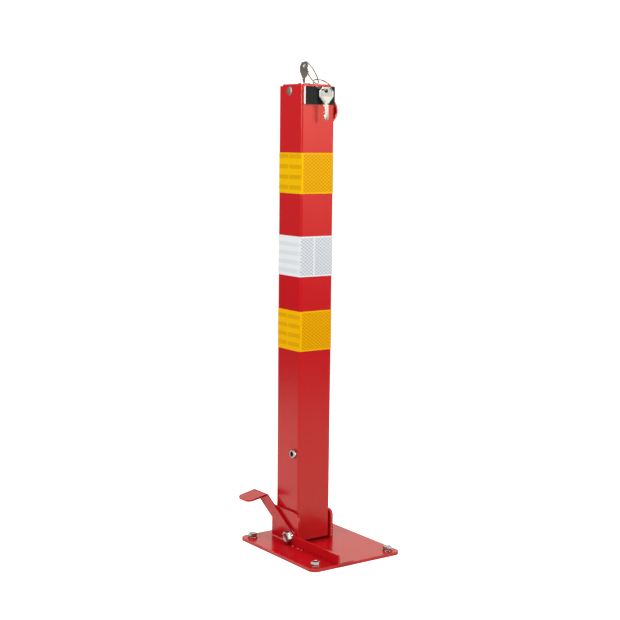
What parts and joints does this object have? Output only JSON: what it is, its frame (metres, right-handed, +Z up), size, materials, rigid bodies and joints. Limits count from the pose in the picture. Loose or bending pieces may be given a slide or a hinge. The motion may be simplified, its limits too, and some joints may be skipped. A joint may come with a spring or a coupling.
{
  "type": "fold-down parking post",
  "caption": "Square steel parking post that folds flat on a floor plate, with a foot lever, key-turned tongue lock, reflective bands and a bumper.",
  "frame": {"origin": "centre of the floor plate's underside", "axes": "+Z up the raised post, -Y the way it folds, -X the pedal side"},
  "size_m": [0.165, 0.2302, 0.7873],
  "materials": {
    "red_paint": "satin powder coat",
    "cap_paint": "satin powder coat",
    "zinc": "bright zinc",
    "bright_steel": "turned",
    "nickel": "nickel plate",
    "lock_chrome": "polished",
    "lock_brass": "turned",
    "bush_plastic": "moulded",
    "foam": "closed-cell foam",
    "rubber_face": "matt",
    "yellow_sheeting": "reflective",
    "white_sheeting": "reflective"
  },
  "bodies": {
    "base": {"base_plate": "red_paint", "cheek_left": "red_paint", "cheek_right": "red_paint", "back_stop": "red_paint", "hinge_bolt": "zinc", "hinge_washers": "zinc", "anchor_bolts": "zinc", "anchor_washers": "zinc"},
    "post": {"post_tube": "red_paint", "hinge_bush": "bright_steel", "top_cap": "cap_paint", "cap_screw": "zinc", "lock_barrel": "lock_chrome", "lock_nut": "zinc", "guide_screw": "zinc", "rod_guide": "bright_steel", "rod_bush": "bush_plastic", "bumper_foam": "foam", "bumper_face": "rubber_face", "lift_handle": "red_paint", "upper_band": "yellow_sheeting", "middle_band": "white_sheeting", "lower_band": "yellow_sheeting"},
    "lock_core": {"lock_plug": "lock_brass", "lock_key": "nickel", "drive_rod": "bright_steel", "locking_tongue": "bright_steel", "tongue_nuts": "zinc"},
    "large_ring": {"large_key_ring": "nickel"},
    "small_ring": {"small_key_ring": "nickel"},
    "hanging_key": {"spare_key": "nickel"},
    "foot_lever": {"pedal_lever": "red_paint"}
  },
  "joints": [
    {"name": "post_fold", "type": "hinge", "parent": "base", "child": "post", "pos_m": [0, 0.023, 0.0165], "axis": [1, 0, 0], "range_deg": [0, 90]},
    {"name": "pedal_press", "type": "hinge", "parent": "base", "child": "foot_lever", "pos_m": [0, 0.023, 0.0165], "axis": [1, 0, 0], "range_deg": [-28, 0]},
    {"name": "key_turn", "type": "hinge", "parent": "post", "child": "lock_core", "pos_m": [0, 0.052, 0.7], "axis": [0, 0, 1], "range_deg": [0, 90]},
    {"name": "ring_swing", "type": "hinge", "parent": "post", "child": "large_ring", "pos_m": [0, 0.052, 0.7365], "axis": [-0.5779, -0.5162, 0.6321], "range_deg": [0, 30]},
    {"name": "link_swing", "type": "hinge", "parent": "large_ring", "child": "small_ring", "pos_m": [0.00348, 0.02088, 0.71427], "axis": [-0.5779, -0.5162, 0.6321], "range_deg": [0, 30]},
    {"name": "spare_key_swing", "type": "hinge", "parent": "small_ring", "child": "hanging_key", "pos_m": [0.00335, -0.0007, 0.69886], "axis": [-1, 0, 0], "range_deg": [-4, 30]}
  ]
}
